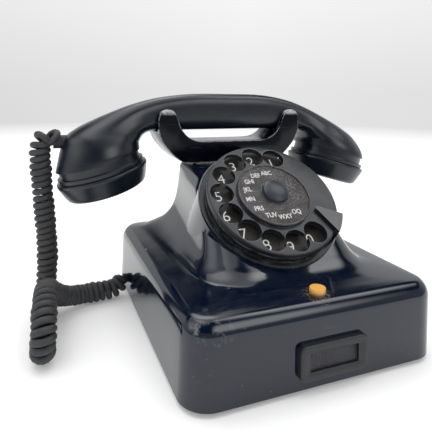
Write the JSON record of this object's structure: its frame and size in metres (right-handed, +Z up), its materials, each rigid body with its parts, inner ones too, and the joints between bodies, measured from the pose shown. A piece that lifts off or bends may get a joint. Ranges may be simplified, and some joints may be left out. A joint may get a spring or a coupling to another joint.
{
  "type": "rotary dial telephone",
  "caption": "Black rotary-dial desk telephone with a handset across a horned cradle, finger wheel, push button, card frame and curly handset cord.",
  "frame": {"origin": "on the desk under the middle of the telephone, without its cord", "axes": "+X to the user's right along the handset, +Y to the back, +Z up; the dial faces -Y and up"},
  "size_m": [0.2403, 0.165, 0.1323],
  "materials": {
    "black_gloss": "moulded black, glossy with small scratches and worn edges",
    "handset_gloss": "moulded black, polished by use",
    "cradle_gloss": "black, worn to a silvery rim along the edges",
    "wheel_satin": "satin black, worn at the rim",
    "ring_black": "gloss black",
    "stop_black": "gloss black",
    "plate_enamel": "dark enamel with light figures",
    "card": "dark brown paper",
    "clear_cover": "clear, scratched",
    "clear_sheet": "clear, slightly dull",
    "knob_gloss": "black, domed and worn",
    "amber": "amber, dirty round its edge",
    "dark_frame": "dark grey, matte",
    "gland_black": "black",
    "cord_charcoal": "charcoal, matte and dusty",
    "foot_rubber": "black",
    "bare_steel": "zinc plated",
    "screw_steel": "plated",
    "spring_steel": "bright",
    "contact_brass": "brushed",
    "brown_insulator": "brown laminate",
    "gong_metal": "nickel plated",
    "coil_winding": "varnished wire and tape",
    "capacitor_can": "dull"
  },
  "bodies": {
    "housing": {"housing": "black_gloss", "base_plate": "bare_steel", "rubber_feet": "foot_rubber", "base_screws": "screw_steel", "label_frame": "dark_frame", "label_card": "card", "label_window": "clear_sheet", "button_guide": "brown_insulator", "button_spring": "spring_steel", "button_contact": "contact_brass", "number_plate": "plate_enamel", "dial_case": "ring_black", "finger_stop": "stop_black", "dial_back_plate": "bare_steel", "movement_bridge": "bare_steel", "mainspring_case": "contact_brass", "pulse_contacts": "brown_insulator", "hook_bracket": "bare_steel", "hook_spring": "spring_steel", "hook_contacts": "brown_insulator", "left_gong": "gong_metal", "right_gong": "gong_metal", "gong_posts": "bare_steel", "gong_screws": "screw_steel", "ringer_frame": "bare_steel", "ringer_coils": "coil_winding", "capacitor": "capacitor_can", "induction_coil": "coil_winding", "terminal_block": "brown_insulator", "terminal_screws": "screw_steel", "housing_cord_gland": "gland_black", "line_cord_grommet": "gland_black", "handset_cord": "cord_charcoal"},
    "dial": {"finger_wheel": "wheel_satin", "dial_card": "card", "dial_cover": "clear_cover", "hub_knob": "knob_gloss", "dial_shaft": "screw_steel", "main_gear": "contact_brass"},
    "pulse_wheel": {"pulse_wheel": "contact_brass"},
    "governor": {"governor": "contact_brass"},
    "cradle": {"cradle_fork": "cradle_gloss"},
    "button": {"push_button": "amber"},
    "clapper": {"clapper": "gong_metal"},
    "handset": {"handset_shell": "handset_gloss", "mouthpiece_cap": "handset_gloss", "earpiece_cap": "handset_gloss", "transmitter_capsule": "capacitor_can", "receiver_capsule": "capacitor_can", "capsule_contacts": "brown_insulator", "handset_cord_gland": "gland_black"}
  },
  "joints": [
    {"name": "dial_turn", "type": "hinge", "parent": "housing", "child": "dial", "pos_m": [0, -0.0244, 0.07735], "axis": [0, -0.6266, 0.7793], "range_deg": [-312, 0], "stiffness_Nm_per_rad": 0.004, "springref_deg": 85.94},
    {"name": "pulse_spin", "type": "hinge", "parent": "housing", "child": "pulse_wheel", "pos_m": [-0.02349, -0.02292, 0.06186], "axis": [0, -0.6266, 0.7793], "range_deg": [0, 1248]},
    {"name": "governor_spin", "type": "hinge", "parent": "housing", "child": "governor", "pos_m": [-0.01651, -0.029, 0.05312], "axis": [0, -0.6266, 0.7793], "range_deg": [-2184, 0]},
    {"name": "handset_lift", "type": "slide", "parent": "housing", "child": "handset", "axis": [0, 0, 1], "range_m": [0, 0.09]},
    {"name": "cradle_rise", "type": "slide", "parent": "housing", "child": "cradle", "axis": [0, 0, 1], "range_m": [0, 0.005], "deforming": ["hook_spring"]},
    {"name": "button_press", "type": "slide", "parent": "housing", "child": "button", "axis": [0, 0, -1], "range_m": [0, 0.0025], "stiffness_N_per_m": 300, "springref_m": -0.003, "deforming": ["button_spring"]},
    {"name": "clapper_swing", "type": "hinge", "parent": "housing", "child": "clapper", "pos_m": [0, 0.0185, 0.02], "axis": [0, 0, 1], "range_deg": [-7, 7], "stiffness_Nm_per_rad": 0.002}
  ],
  "couplings": [
    {"joint": "pulse_spin", "follows": "dial_turn", "ratio": -4},
    {"joint": "governor_spin", "follows": "dial_turn", "ratio": 7},
    {"joint": "cradle_rise", "follows": "handset_lift", "ratio": 0.055556}
  ]
}
